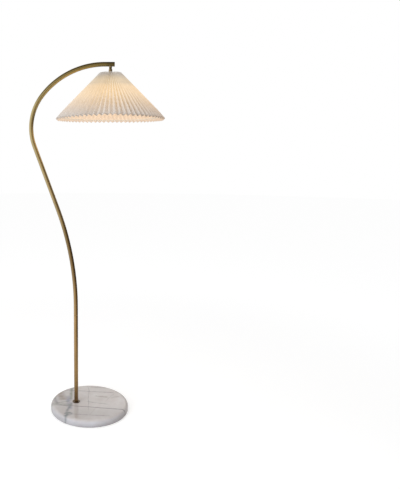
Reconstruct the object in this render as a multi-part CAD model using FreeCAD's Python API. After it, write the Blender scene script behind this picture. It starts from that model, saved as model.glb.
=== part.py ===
import FreeCAD, Part
import math
import os

# Arc floor lamp with a pleated cone shade on a round marble base.
# Millimetres. The origin is the centre of the base on the floor, +Z is up,
# and the arm reaches along +X. The cord inlet is in the base's rear edge, towards +Y.

V = FreeCAD.Vector

# Fits and margins
running_fit = 0.05        # radial play of a shaft in its bore
slip_fit = 0.1            # radial play of a piece that slides in and is fixed
free_gap = 0.3            # space between bodies that move past each other
overrun = 1.0             # how far a cutter runs past the face that it cuts

# Base
base_diameter = 346.0
base_height = 34.0        # floor to the top of the stone
pad_thickness = 2.0
pad_inset = 6.0           # pad edge inside the stone's edge
stone_top_round = 15.0
stone_bottom_round = 5.0
pole_offset = 60.0        # pole axis behind the base's centre, along -X
counterbore_diameter = 46.0
counterbore_depth = 18.0
groove_width = 8.0
groove_depth = 8.0

# Foot fixing
nipple_diameter = 10.0
nipple_bore = 7.4
nipple_engagement = 16.0  # length inside the foot insert
insert_length = 20.0
washer_diameter = 40.0
washer_thickness = 2.0
toothed_washer_diameter = 18.0
toothed_washer_thickness = 1.0
tooth_count = 12
tooth_depth = 1.4
nut_across_flats = 17.0
nut_thickness = 5.0
nipple_proud = 1.0        # nipple end below the nut
collar_diameter = 33.0
collar_height = 3.0
collar_round = 1.2

# Cord inlet
gland_length = 14.0
gland_recess = 5.0        # gland end inside the stone's edge
gland_edge_round = 1.5
lead_diameter = 3.2
lead_drop_radius = 4.0    # bend of the lead from the arm into the neck
gland_play = 0.3

# Pole and arm
tube_diameter = 18.0
tube_wall = 1.2
lower_bend_radius = 1261.0
lean_angle = 19.74        # degrees from upright, towards -X
lean_run = 277.0
crown_bend_radius = 209.3
crown_turn = 58.37        # degrees turned by the tight part of the hook
arm_bend_radius = 328.6
level_run = 39.0          # level end of the arm, cap included
lower_seam_height = 405.0  # length of the lower tube
rise_over_seam = 39.7     # upright run of the middle tube
upper_seam_run = 120.0    # seam of the upper tube, along the leaning run
seam_gap = 0.2
joiner_length = 50.0
joiner_bore = 9.2
joint_screw_diameter = 4.0
joint_screw_length = 4.0
joint_screw_socket = 2.0  # across flats
joint_screw_socket_depth = 1.5
joint_screw_sink = 0.3    # screw face below the tube's surface
joint_screw_rise = 12.0   # screw above its seam

# End of the arm
cap_thickness = 2.0
cap_edge_round = 0.6
cap_spigot_length = 2.4
cap_spigot_wall = 1.2
stem_to_tip = 17.0        # stem axis to the end of the arm
block_length = 22.0
block_bore = 10.0
block_bore_rise = 4.0     # blind end of the bore above the arm's axis
bush_flange_diameter = 12.0
bush_flange_height = 3.0  # below the tube
bush_top_drop = 3.3       # top of the bush below the arm's axis
stem_diameter = 7.0
stem_top_drop = 1.6       # top of the stem below the arm's axis
stem_bore = 4.6
clip_diameter = 9.0
clip_thickness = 0.6
clip_seat_depth = 0.7
clip_opening = 3.6

# Neck and tilting ball
neck_diameter = 12.0
neck_height = 5.0
neck_round = 0.5
throat_diameter = 7.2
ball_diameter = 11.0
ball_cut_drop = 4.0       # flat end of the ball below the pivot
ball_flare_diameter = 6.7
shoulder_rise = 5.9       # underside of the neck above the pivot
sleeve_top_rise = 4.0     # top of the sleeve above the pivot
pivot_pin_diameter = 2.5
pivot_pin_reach = 3.3     # end of the pin from the stem axis
pivot_head_diameter = 4.0
pivot_head_depth = 1.0
pivot_slot_width = 0.7
pivot_slot_depth = 0.5

# Sleeve and holder
sleeve_diameter = 15.0
sleeve_edge_round = 0.8
sleeve_ball_depth = 9.0   # large bore below the pivot
sleeve_bore = 6.4
sleeve_thread_diameter = 10.0
sleeve_thread_length = 9.0
holder_cap_height = 16.0
holder_diameter = 39.0
holder_entry_diameter = 18.0
holder_wall = 1.5
holder_shell_height = 36.0
holder_rib_count = 3
holder_rib_height = 0.6
holder_rib_width = 2.0
insulator_height = 9.0
insulator_play = 0.6
insulator_boss_diameter = 12.0
insulator_boss_height = 2.0
screw_shell_diameter = 28.4
screw_shell_wall = 0.4
screw_shell_height = 23.0
contact_width = 5.0
contact_thickness = 0.6
contact_length = 16.0

# Bulb
bulb_diameter = 60.0
bulb_glass_length = 78.0
bulb_neck_diameter = 25.0
bulb_wall = 0.8
bulb_round_turn = 35.0    # degrees of the round end above the widest part
bulb_neck_share = 0.33    # straight neck's share of the way from the round end to the cap
bulb_cap_diameter = 26.4
bulb_cap_length = 19.0
bulb_thread_turns = 4
bulb_thread_depth = 0.8
bulb_cap_wall = 0.4
bulb_contact_diameter = 10.0
bulb_contact_height = 3.0

# Shade
pleat_count = 70
shade_diameter = 446.0    # over the folds at the rim
shade_top_diameter = 88.0
shade_height = 178.0
shade_top_below_arm = 23.8  # top folds below the underside of the arm
facet_width = 14.0        # flat width between two folds
shade_thickness = 0.6
section_shares = (0.0, 0.12, 0.4, 1.0)   # where the folds' thickness is worked out, from top to rim
fold_rounds = 20          # rounds of the sum for the folds' depth
carrier_thickness = 1.5
carrier_drop = 25.0       # carrier's underside below the top folds
carrier_hole_diameter = 10.5
carrier_lip_height = 4.0
vent_count = 6
vent_diameter = 12.0
hoop_wire = 3.0
hoop_rise = 12.0          # hoop above the lowest folds

# Places that follow from the sizes
base_radius = base_diameter / 2
tube_radius = tube_diameter / 2
tube_inner_radius = tube_radius - tube_wall
lead_radius = lead_diameter / 2
pole_x = -pole_offset
lower_seam_z = base_height + lower_seam_height
straight_rise = lower_seam_height + rise_over_seam
counterbore_ceiling = pad_thickness + counterbore_depth
lead_offset = nipple_bore / 2 - lead_radius - slip_fit   # the lead lies along the outer side of the bends
lead_x = pole_x - lead_offset


class Route:
    """A centre line of straight runs and tangent bends, which makes a solid rod or a tube along itself."""

    def __init__(self, start, heading):
        self.point = start
        self.heading = heading.normalize()
        self.steps = []
        self.length = 0.0

    def run(self, distance):
        end = self.point + self.heading * distance
        self.steps.append(("run", self.point, self.heading, distance))
        self.point = end
        self.length += distance
        return self

    def bend(self, radius, degrees, axis):
        """Turns the heading about axis by the right-hand rule."""
        side = axis.cross(self.heading)
        centre = self.point + side * radius
        self.steps.append(("bend", self.point, self.heading, centre, axis, degrees))
        turn = FreeCAD.Rotation(axis, degrees)
        self.point = centre + turn.multVec(self.point - centre)
        self.heading = turn.multVec(self.heading)
        self.length += radius * math.radians(degrees)
        return self

    def rod(self, radius):
        solids = []
        for step in self.steps:
            if step[0] == "run":
                solids.append(Part.makeCylinder(radius, step[3], step[1], step[2]))
            else:
                disc = Part.Face(Part.Wire(Part.makeCircle(radius, step[1], step[2])))
                solids.append(disc.revolve(step[3], step[4], step[5]))
        if len(solids) == 1:
            return solids[0]
        return solids[0].multiFuse(solids[1:])

    def tube(self, radius, inner_radius):
        return self.rod(radius).cut(self.rod(inner_radius))


def cylinder(radius, bottom, top, x=0.0, y=0.0):
    return Part.makeCylinder(radius, top - bottom, V(x, y, bottom))


def ring(outer, inner, bottom, top, x=0.0):
    return cylinder(outer, bottom, top, x).cut(cylinder(inner, bottom - overrun, top + overrun, x))


def cross_rod(radius, start, end, x, z):
    """A rod along Y, from start to end."""
    way = V(0, math.copysign(1, end - start), 0)
    return Part.makeCylinder(radius, abs(end - start), V(x, start, z), way)


def revolved(points, x):
    """A solid turned about the upright axis at x, from (radius, height) points."""
    wire = Part.makePolygon([V(x + r, 0, z) for r, z in points + points[:1]])
    return Part.Face(wire).revolve(V(x, 0, 0), V(0, 0, 1), 360)


def hexagon(across_flats, bottom, top, x):
    corner = across_flats / 2 / math.cos(math.pi / 6)
    points = [V(x + corner * math.cos(k * math.pi / 3), corner * math.sin(k * math.pi / 3), bottom)
              for k in range(7)]
    return Part.Face(Part.makePolygon(points)).extrude(V(0, 0, top - bottom))


def circle_edges_at(shape, height, radius):
    """The round edges of a shape at one height with one radius."""
    found = []
    for edge in shape.Edges:
        curve = edge.Curve
        if isinstance(curve, Part.Circle):
            level = abs(curve.Center.z - height) < running_fit
            if level and abs(curve.Radius - radius) < running_fit and abs(curve.Axis.z) > abs(curve.Axis.x):
                found.append(edge)
    return found


# The centre line of the pole and arm, from the stone to the end of the arm

right = V(0, 1, 0)        # turning about +Y swings an upright heading towards +X
left = V(0, -1, 0)


def lower_route():
    return Route(V(pole_x, 0, base_height), V(0, 0, 1)).run(lower_seam_height - seam_gap / 2)


def middle_route():
    start = V(pole_x, 0, lower_seam_z + seam_gap / 2)
    route = Route(start, V(0, 0, 1)).run(rise_over_seam - seam_gap / 2)
    return route.bend(lower_bend_radius, lean_angle, left).run(upper_seam_run - seam_gap / 2)


def upper_route(end_run):
    middle = middle_route()
    route = Route(middle.point + middle.heading * seam_gap, V(*middle.heading))
    route.run(lean_run - upper_seam_run - seam_gap / 2)
    route.bend(crown_bend_radius, crown_turn, right)
    route.bend(arm_bend_radius, 90 + lean_angle - crown_turn, right)
    return route.run(end_run)


arm_end = upper_route(level_run).point
arm_z = arm_end.z
stem_x = arm_end.x - stem_to_tip
arm_underside = arm_z - tube_radius
bush_bottom = arm_underside - bush_flange_height
neck_top = bush_bottom - free_gap
neck_bottom = neck_top - neck_height
pivot_z = neck_bottom - shoulder_rise
sleeve_top = pivot_z + sleeve_top_rise
ball_radius = ball_diameter / 2
sleeve_inner_radius = ball_radius + free_gap
shade_top_z = arm_underside - shade_top_below_arm
shade_rim_z = shade_top_z - shade_height
carrier_bottom = shade_top_z - carrier_drop
carrier_top = carrier_bottom + carrier_thickness
holder_radius = holder_diameter / 2
cap_bottom = carrier_bottom - holder_cap_height
holder_bottom = cap_bottom - holder_shell_height
insulator_top = cap_bottom - running_fit
insulator_bottom = insulator_top - insulator_height
bulb_bottom = holder_bottom - bulb_glass_length


# Base

def marble_base():
    stone = cylinder(base_radius, pad_thickness, base_height)
    stone = stone.makeFillet(stone_top_round, circle_edges_at(stone, base_height, base_radius))
    stone = stone.makeFillet(stone_bottom_round, circle_edges_at(stone, pad_thickness, base_radius))
    hole = cylinder(nipple_diameter / 2 + free_gap, 0, base_height + overrun, pole_x)
    counterbore = cylinder(counterbore_diameter / 2, 0, counterbore_ceiling, pole_x)
    groove = Part.makeBox(groove_width, base_radius, groove_depth + pad_thickness,
                          V(lead_x - groove_width / 2, 0, 0))
    return stone.cut(hole.multiFuse([counterbore, groove]))


def base_pad():
    return cylinder(base_radius - pad_inset, 0, pad_thickness)


def base_collar():
    top = base_height + collar_height
    collar = ring(collar_diameter / 2, tube_radius + slip_fit, base_height, top, pole_x)
    edges = circle_edges_at(collar, top, collar_diameter / 2)
    return collar.makeFillet(collar_round, edges)


washer_bottom = counterbore_ceiling - washer_thickness
toothed_bottom = washer_bottom - toothed_washer_thickness
nut_bottom = toothed_bottom - nut_thickness
nipple_bottom = nut_bottom - nipple_proud
nipple_outer = nipple_diameter / 2


def foot_nipple():
    return ring(nipple_outer, nipple_bore / 2, nipple_bottom, base_height + nipple_engagement, pole_x)


def foot_insert():
    return ring(tube_inner_radius - running_fit, nipple_outer + running_fit,
                base_height, base_height + insert_length, pole_x)


def clamp_washer():
    return ring(washer_diameter / 2, nipple_outer + free_gap, washer_bottom, counterbore_ceiling, pole_x)


def toothed_washer():
    bore = nipple_outer + free_gap
    washer = ring(toothed_washer_diameter / 2, bore, toothed_bottom, washer_bottom, pole_x)
    pitch = math.pi * toothed_washer_diameter / tooth_count
    notch = Part.makeBox(tooth_depth * 2, pitch / 2, washer_thickness * 2,
                         V(toothed_washer_diameter / 2 - tooth_depth, -pitch / 4, toothed_bottom - overrun))
    notch.translate(V(pole_x, 0, 0))
    cutters = []
    for k in range(tooth_count):
        cutter = notch.copy()
        cutter.rotate(V(pole_x, 0, 0), V(0, 0, 1), 360 * k / tooth_count)
        cutters.append(cutter)
    return washer.cut(cutters[0].multiFuse(cutters[1:]))


def foot_nut():
    nut = hexagon(nut_across_flats, nut_bottom, toothed_bottom, pole_x)
    bore = cylinder(nipple_outer + running_fit, nut_bottom - overrun, toothed_bottom + overrun, pole_x)
    return nut.cut(bore)


gland_end_y = math.sqrt(base_radius ** 2 - (abs(lead_x) + groove_width / 2) ** 2) - gland_recess
lead_z = pad_thickness + groove_depth / 2
gland_size = groove_width - slip_fit * 2


def cord_gland():
    body = Part.makeBox(gland_size, gland_length, groove_depth - slip_fit * 2,
                        V(lead_x - gland_size / 2, gland_end_y - gland_length, pad_thickness + slip_fit))
    edges = [edge for edge in body.Edges if abs(edge.tangentAt(edge.FirstParameter).y) > 1 - running_fit]
    body = body.makeFillet(gland_edge_round, edges)
    bore = cross_rod(lead_radius + gland_play, gland_end_y - gland_length - overrun, gland_end_y + overrun,
                     lead_x, lead_z)
    return body.cut(bore)


# Pole and arm

def screw_hole(centre, radius):
    return Part.makeCylinder(radius, tube_diameter, centre, V(0, 1, 0))


lower_seam = V(pole_x, 0, lower_seam_z)
upper_seam_route = middle_route()
upper_seam = upper_seam_route.point + upper_seam_route.heading * (seam_gap / 2)
lean_heading = V(*upper_seam_route.heading)
screw_seats = [lower_seam + V(0, 0, joint_screw_rise), upper_seam + lean_heading * joint_screw_rise]
screw_hole_radius = joint_screw_diameter / 2 + running_fit


def lower_pole():
    return lower_route().tube(tube_radius, tube_inner_radius)


def middle_pole():
    tube = middle_route().tube(tube_radius, tube_inner_radius)
    return tube.cut(screw_hole(screw_seats[0], screw_hole_radius))


def upper_arm():
    tube = upper_route(level_run - cap_thickness).tube(tube_radius, tube_inner_radius)
    bush_hole = cylinder(block_bore / 2 + slip_fit, arm_underside - overrun, arm_z, stem_x)
    return tube.cut(screw_hole(screw_seats[1], screw_hole_radius)).cut(bush_hole)


def joiner(seam, heading, seat):
    start = seam - heading * (joiner_length / 2)
    body = Part.makeCylinder(tube_inner_radius - running_fit, joiner_length, start, heading)
    below = start - heading * overrun
    bore = Part.makeCylinder(joiner_bore / 2, joiner_length + overrun * 2, below, heading)
    return body.cut(bore).cut(screw_hole(seat, screw_hole_radius))


def joint_screws():
    screws = []
    for seat in screw_seats:
        head_y = tube_radius - joint_screw_sink
        length = joint_screw_length - joint_screw_sink
        point = seat + V(0, head_y - length, 0)
        screw = Part.makeCylinder(joint_screw_diameter / 2, length, point, V(0, 1, 0))
        socket = hexagon(joint_screw_socket, 0, joint_screw_socket_depth + overrun, 0)
        socket.rotate(V(0, 0, 0), V(1, 0, 0), -90)
        socket.translate(seat + V(0, head_y - joint_screw_socket_depth, 0))
        screws.append(screw.cut(socket))
    return Part.makeCompound(screws)


tube_end_x = arm_end.x - cap_thickness


def arm_end_cap():
    disc = Part.makeCylinder(tube_radius, cap_thickness, V(tube_end_x, 0, arm_z), V(1, 0, 0))
    round_edges = [edge for edge in disc.Edges if isinstance(edge.Curve, Part.Circle)]
    outer_edge = max(round_edges, key=lambda edge: edge.Curve.Center.x)
    disc = disc.makeFillet(cap_edge_round, [outer_edge])
    inner_face = V(tube_end_x, 0, arm_z)
    spigot_radius = tube_inner_radius - running_fit
    spigot = Part.makeCylinder(spigot_radius, cap_spigot_length, inner_face, V(-1, 0, 0))
    hollow = Part.makeCylinder(spigot_radius - cap_spigot_wall, cap_spigot_length, inner_face, V(-1, 0, 0))
    return disc.fuse(spigot.cut(hollow))


def swivel_block():
    body = Part.makeCylinder(tube_inner_radius - slip_fit, block_length,
                             V(stem_x - block_length / 2, 0, arm_z), V(1, 0, 0))
    bore = cylinder(block_bore / 2, arm_underside, arm_z + block_bore_rise, stem_x)
    passage = Part.makeCylinder(lead_radius + free_gap, block_length,
                                V(stem_x - block_length, 0, arm_z + lead_offset), V(1, 0, 0))
    return body.cut(bore).cut(passage)


def swivel_bush():
    flange = cylinder(bush_flange_diameter / 2, bush_bottom, arm_z - bush_top_drop - tube_wall, stem_x)
    saddle = Part.makeCylinder(tube_radius, stem_to_tip * 2, V(stem_x - stem_to_tip, 0, arm_z), V(1, 0, 0))
    thread = cylinder(block_bore / 2 - running_fit, bush_bottom, arm_z - bush_top_drop, stem_x)
    bore = cylinder(stem_diameter / 2 + running_fit, bush_bottom - overrun, arm_z, stem_x)
    return flange.cut(saddle).fuse(thread).cut(bore)


clip_bottom = arm_z - bush_top_drop + slip_fit
clip_seat_radius = stem_diameter / 2 - clip_seat_depth


def neck_clip():
    inner = clip_seat_radius + running_fit
    clip = ring(clip_diameter / 2, inner, clip_bottom, clip_bottom + clip_thickness, stem_x)
    mouth = Part.makeBox(clip_diameter, clip_opening, clip_thickness * 3,
                         V(stem_x, -clip_opening / 2, clip_bottom - clip_thickness))
    return clip.cut(mouth)


def swivel_neck():
    stem = cylinder(stem_diameter / 2, neck_bottom, arm_z - stem_top_drop, stem_x)
    seat = ring(stem_diameter, clip_seat_radius, clip_bottom - running_fit,
                clip_bottom + clip_thickness + running_fit, stem_x)
    shoulder = cylinder(neck_diameter / 2, neck_bottom, neck_top, stem_x)
    edges = circle_edges_at(shoulder, neck_bottom, neck_diameter / 2)
    edges += circle_edges_at(shoulder, neck_top, neck_diameter / 2)
    shoulder = shoulder.makeFillet(neck_round, edges)
    throat = cylinder(throat_diameter / 2, pivot_z, neck_bottom, stem_x)
    ball = Part.makeSphere(ball_radius, V(stem_x, 0, pivot_z))
    ball = ball.cut(cylinder(ball_diameter, pivot_z - ball_diameter, pivot_z - ball_cut_drop, stem_x))
    neck = stem.cut(seat).fuse(shoulder).fuse(throat).fuse(ball)
    neck = neck.cut(cylinder(stem_bore / 2, pivot_z - ball_diameter, arm_z, stem_x))
    flare_slope = (ball_flare_diameter - stem_bore) / 2 / ball_cut_drop
    flare = Part.makeCone(stem_bore / 2, ball_flare_diameter / 2 + flare_slope * overrun,
                          ball_cut_drop + overrun, V(stem_x, 0, pivot_z), V(0, 0, -1))
    neck = neck.cut(flare)
    for side in (-1, 1):
        pin_room = cross_rod(pivot_pin_diameter / 2 + running_fit, side * (pivot_pin_reach - free_gap),
                             side * ball_diameter, stem_x, pivot_z)
        neck = neck.cut(pin_room)
    return neck


# The lead inside the pole, and the holder's lead in the head

def pole_lead():
    bend_radius = (nipple_bottom - lead_z) + lead_diameter / 2
    route = Route(V(lead_x, gland_end_y - gland_recess, lead_z), V(0, -1, 0))
    route.run(gland_end_y - gland_recess - bend_radius)
    route.bend(bend_radius, 90, V(-1, 0, 0))
    route.run(base_height + straight_rise - lead_z - bend_radius)
    route.bend(lower_bend_radius - lead_offset, lean_angle, left)
    route.run(lean_run)
    route.bend(crown_bend_radius + lead_offset, crown_turn, right)
    route.bend(arm_bend_radius + lead_offset, 90 + lean_angle - crown_turn, right)
    route.run(level_run - stem_to_tip - lead_drop_radius)
    route.bend(lead_drop_radius, 90, right)
    route.run(route.point.z - pivot_z - lead_radius / 2)
    lead = route.rod(lead_radius)
    share = lead.Volume / (math.pi * lead_radius ** 2 * route.length)
    print("pole_lead length %.1f, volume over section times length %.4f" % (route.length, share))
    return lead


def holder_lead():
    return cylinder(lead_radius, insulator_top, pivot_z - lead_radius / 2, stem_x)


# Head

sleeve_bottom = carrier_top


def head_sleeve():
    body = cylinder(sleeve_diameter / 2, sleeve_bottom, sleeve_top, stem_x)
    body = body.makeFillet(sleeve_edge_round, circle_edges_at(body, sleeve_top, sleeve_diameter / 2))
    thread_bottom = sleeve_bottom - sleeve_thread_length
    thread = cylinder(sleeve_thread_diameter / 2, thread_bottom, sleeve_bottom, stem_x)
    body = body.fuse(thread)
    ball_floor = pivot_z - sleeve_ball_depth
    body = body.cut(cylinder(sleeve_inner_radius, ball_floor, sleeve_top + overrun, stem_x))
    body = body.cut(cylinder(sleeve_bore / 2, thread_bottom - overrun, pivot_z, stem_x))
    pin_room = pivot_pin_diameter / 2 + running_fit
    head_room = pivot_head_diameter / 2 + running_fit
    for side in (-1, 1):
        outer = side * sleeve_diameter / 2
        body = body.cut(cross_rod(pin_room, 0, side * sleeve_diameter, stem_x, pivot_z))
        body = body.cut(cross_rod(head_room, outer - side * pivot_head_depth, outer * 2, stem_x, pivot_z))
    return body


def pivot_screws():
    screws = []
    for side in (-1, 1):
        face = side * (sleeve_diameter / 2 - running_fit)
        neck_of_head = face - side * (pivot_head_depth - running_fit * 2)
        head = cross_rod(pivot_head_diameter / 2, neck_of_head, face, stem_x, pivot_z)
        low, high = pivot_z - sleeve_diameter, pivot_z + sleeve_diameter
        head = head.common(cylinder(sleeve_diameter / 2, low, high, stem_x))
        pin = cross_rod(pivot_pin_diameter / 2, side * pivot_pin_reach, neck_of_head, stem_x, pivot_z)
        corner = V(stem_x - pivot_head_diameter, face - pivot_slot_depth, pivot_z - pivot_slot_width / 2)
        slot = Part.makeBox(pivot_head_diameter * 2, pivot_slot_depth * 2, pivot_slot_width, corner)
        screws.append(head.fuse(pin).cut(slot))
    return Part.makeCompound(screws)


def holder_cap():
    r = holder_radius
    entry = holder_entry_diameter / 2
    step = holder_wall
    top = carrier_bottom
    low = cap_bottom
    thread = sleeve_thread_diameter / 2 + running_fit
    outside = [(entry, top), (entry + step, top - step), (entry + step, top - step * 3),
               (r - step * 2, low + step * 3), (r, low + step), (r, low)]
    inside = [(r - step, low), (r - step, low + step), (r - step * 3, low + step * 2.5),
              (entry, top - step * 4), (entry, top - step * 2), (thread, top - step * 2), (thread, top)]
    return revolved(outside + inside, stem_x)


def holder_shell():
    shell = ring(holder_radius, holder_radius - holder_wall, holder_bottom, cap_bottom, stem_x)
    pitch = holder_shell_height / (holder_rib_count + 1)
    for k in range(holder_rib_count):
        middle = holder_bottom + pitch * (k + 1)
        rib = ring(holder_radius + holder_rib_height, holder_radius - holder_wall / 2,
                   middle - holder_rib_width / 2, middle + holder_rib_width / 2, stem_x)
        shell = shell.fuse(rib)
    return shell


def holder_insulator():
    body = cylinder(holder_radius - holder_wall - insulator_play, insulator_bottom, insulator_top, stem_x)
    boss = cylinder(insulator_boss_diameter / 2, contact_top, insulator_bottom, stem_x)
    return body.fuse(boss)


contact_top = insulator_bottom - insulator_boss_height
contact_bottom = contact_top - contact_thickness
screw_shell_top = insulator_bottom
screw_shell_radius = screw_shell_diameter / 2


def holder_contact():
    return Part.makeBox(contact_length, contact_width, contact_thickness,
                        V(stem_x - contact_length / 2, -contact_width / 2, contact_bottom))


def screw_shell():
    outer = screw_shell_radius + screw_shell_wall
    bottom = screw_shell_top - screw_shell_height
    return ring(outer, screw_shell_radius, bottom, screw_shell_top, stem_x)


# Bulb

bulb_cap_top = contact_bottom - bulb_contact_height - running_fit
bulb_cap_bottom = bulb_cap_top - bulb_cap_length
bulb_cap_radius = bulb_cap_diameter / 2


def bulb_cap():
    points = []
    pitch = bulb_cap_length / (bulb_thread_turns + 1)
    for k in range(bulb_thread_turns):
        low = bulb_cap_bottom + pitch * (k + 1)
        points += [(bulb_cap_radius - bulb_thread_depth, low - pitch / 2), (bulb_cap_radius, low)]
    outside = [(bulb_cap_radius, bulb_cap_bottom)] + points
    outside += [(bulb_contact_diameter / 2 + bulb_thread_depth, bulb_cap_top)]
    inside = [(r - bulb_cap_wall, z) for r, z in reversed(outside[:-1])]
    inside = [(bulb_contact_diameter / 2 + bulb_thread_depth, bulb_cap_top - bulb_cap_wall)] + inside
    return revolved(outside + inside, stem_x)


def bulb_contact():
    top = contact_bottom - running_fit
    return cylinder(bulb_contact_diameter / 2, top - bulb_contact_height, top, stem_x)


def bulb_profile(shrink):
    """Half outline of the glass: a round end, a long taper drawn in as an arc, and the neck."""
    radius = bulb_diameter / 2 - shrink
    centre_z = bulb_bottom + bulb_diameter / 2
    neck = bulb_neck_diameter / 2 - shrink
    turn = math.radians(bulb_round_turn)
    low = V(stem_x, 0, centre_z - radius)
    side = V(stem_x + radius, 0, centre_z)
    leave = V(stem_x + radius * math.cos(turn), 0, centre_z + radius * math.sin(turn))
    neck_end = V(stem_x + neck, 0, bulb_cap_bottom)
    neck_start = V(stem_x + neck, 0, bulb_cap_bottom - (bulb_cap_bottom - leave.z) * bulb_neck_share)
    round_end = Part.Arc(low, side, leave).toShape()
    waist = Part.BezierCurve()
    reach = (neck_start.z - leave.z) / 2
    waist.setPoles([leave, leave + V(-math.sin(turn), 0, math.cos(turn)) * reach,
                    neck_start - V(0, 0, reach), neck_start])
    return [round_end, waist.toShape(), Part.makeLine(neck_start, neck_end)], low, neck_end


def bulb_body(shrink):
    edges, low, neck_end = bulb_profile(shrink)
    axis_top = V(stem_x, 0, neck_end.z)
    edges += [Part.makeLine(neck_end, axis_top), Part.makeLine(axis_top, low)]
    return Part.Face(Part.Wire(edges)).revolve(V(stem_x, 0, 0), V(0, 0, 1), 360)


def bulb_glass():
    return bulb_body(0.0).cut(bulb_body(bulb_wall))


# Shade: one strip of stiff cloth, folded to and fro between a small top and a wide rim

outer_top = (shade_top_diameter / 2, shade_top_z)
outer_rim = (shade_diameter / 2, shade_rim_z)
slope_length = math.hypot(outer_rim[0] - outer_top[0], outer_top[1] - outer_rim[1])
normal = ((outer_top[1] - outer_rim[1]) / slope_length, (outer_rim[0] - outer_top[0]) / slope_length)


def half_pitch_at(radius):
    return math.pi * radius / pleat_count


def mean_line_end(outer):
    """Radius and height midway between ridge and valley, and the pleat's depth, at one end of the shade."""
    mean_radius = outer[0]
    for _ in range(fold_rounds):
        half_pitch = half_pitch_at(mean_radius)
        depth = math.sqrt(facet_width ** 2 - half_pitch ** 2)
        reach = depth / 2 + shade_thickness / 2 * facet_width / half_pitch
        mean_radius = outer[0] - reach * normal[0]
    return outer[0] - reach * normal[0], outer[1] - reach * normal[1], depth


top_mean = mean_line_end(outer_top)
rim_mean = mean_line_end(outer_rim)


def fold_section(share):
    """Radius and height of the folds of the outer and inner face, at a share of the way from top to rim."""
    radius, height, depth = (a + (b - a) * share for a, b in zip(top_mean, rim_mean))
    half_pitch = half_pitch_at(radius)
    half_thickness = shade_thickness / 2 * math.hypot(depth, half_pitch) / half_pitch

    def point(distance):
        return radius + distance * normal[0], height + distance * normal[1]

    half = depth / 2
    return {"outer_ridge": point(half + half_thickness), "outer_valley": point(half_thickness - half),
            "inner_ridge": point(half - half_thickness), "inner_valley": point(-half - half_thickness)}


sections = [fold_section(share) for share in section_shares]


def inner_radius_at(height):
    """Radius of the innermost fold line at one height."""
    for above, below in zip(sections, sections[1:]):
        r_above, z_above = above["inner_valley"]
        r_below, z_below = below["inner_valley"]
        if height >= z_below:
            break
    return r_above + (r_below - r_above) * (z_above - height) / (z_above - z_below)


def on_shade(place, k):
    angle = math.pi * k / pleat_count
    return V(stem_x + place[0] * math.cos(angle), place[0] * math.sin(angle), place[1])


def strip_faces(first, second, first_far, second_far):
    """Faces between two fold lines all the way round, ridge on even steps and valley on odd ones."""
    faces = []
    for k in range(2 * pleat_count):
        a, b = (first, second) if k % 2 == 0 else (second, first)
        a_far, b_far = (first_far, second_far) if k % 2 == 0 else (second_far, first_far)
        edge_a = Part.makeLine(on_shade(a, k), on_shade(a_far, k))
        edge_b = Part.makeLine(on_shade(b, k + 1), on_shade(b_far, k + 1))
        faces.append(Part.makeRuledSurface(edge_a, edge_b))
    return faces


def pleated_shade():
    faces = []
    for side in ("outer", "inner"):
        ridge, valley = side + "_ridge", side + "_valley"
        for above, below in zip(sections, sections[1:]):
            faces += strip_faces(above[ridge], above[valley], below[ridge], below[valley])
    for end in (sections[0], sections[-1]):
        outer = end["outer_ridge"], end["outer_valley"]
        inner = end["inner_ridge"], end["inner_valley"]
        faces += strip_faces(*outer, *inner)
    shell = Part.makeShell(faces)
    shell.sewShape()
    solid = Part.makeSolid(Part.Shell(shell.Faces))
    if solid.Volume < 0:
        solid.reverse()
    print("pleat depth %.2f at the rim, %.2f at the top" % (rim_mean[2], top_mean[2]))
    return solid


def shade_carrier():
    radius = inner_radius_at(carrier_top) - free_gap * 2
    plate = ring(radius, carrier_hole_diameter / 2, carrier_bottom, carrier_top, stem_x)
    lip_radius = inner_radius_at(carrier_bottom) - free_gap * 2 - carrier_lip_height
    lip_bottom = carrier_bottom - carrier_lip_height
    lip = ring(lip_radius, lip_radius - carrier_thickness, lip_bottom, carrier_bottom, stem_x)
    plate = plate.fuse(lip)
    for k in range(vent_count):
        angle = 2 * math.pi * k / vent_count
        reach = (lip_radius + holder_entry_diameter / 2) / 2
        plate = plate.cut(cylinder(vent_diameter / 2, carrier_bottom - overrun, carrier_top + overrun,
                                   stem_x + reach * math.cos(angle), reach * math.sin(angle)))
    return plate


def lower_hoop():
    z = sections[-1]["inner_valley"][1] + hoop_rise
    gap = (hoop_wire / 2 + free_gap) / normal[0]
    return Part.makeTorus(inner_radius_at(z) - gap, hoop_wire / 2, V(stem_x, 0, z))


makers = {
    "marble_base": marble_base,
    "base_pad": base_pad,
    "base_collar": base_collar,
    "foot_nipple": foot_nipple,
    "foot_insert": foot_insert,
    "clamp_washer": clamp_washer,
    "toothed_washer": toothed_washer,
    "foot_nut": foot_nut,
    "cord_gland": cord_gland,
    "lower_pole": lower_pole,
    "middle_pole": middle_pole,
    "upper_arm": upper_arm,
    "lower_joiner": lambda: joiner(lower_seam, V(0, 0, 1), screw_seats[0]),
    "upper_joiner": lambda: joiner(upper_seam, lean_heading, screw_seats[1]),
    "joint_screws": joint_screws,
    "arm_end_cap": arm_end_cap,
    "swivel_block": swivel_block,
    "swivel_bush": swivel_bush,
    "pole_lead": pole_lead,
    "swivel_neck": swivel_neck,
    "neck_clip": neck_clip,
    "head_sleeve": head_sleeve,
    "pivot_screws": pivot_screws,
    "holder_lead": holder_lead,
    "shade_carrier": shade_carrier,
    "holder_cap": holder_cap,
    "holder_shell": holder_shell,
    "holder_insulator": holder_insulator,
    "holder_contact": holder_contact,
    "screw_shell": screw_shell,
    "bulb_cap": bulb_cap,
    "bulb_contact": bulb_contact,
    "bulb_glass": bulb_glass,
    "pleated_shade": pleated_shade,
    "lower_hoop": lower_hoop,
}

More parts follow.
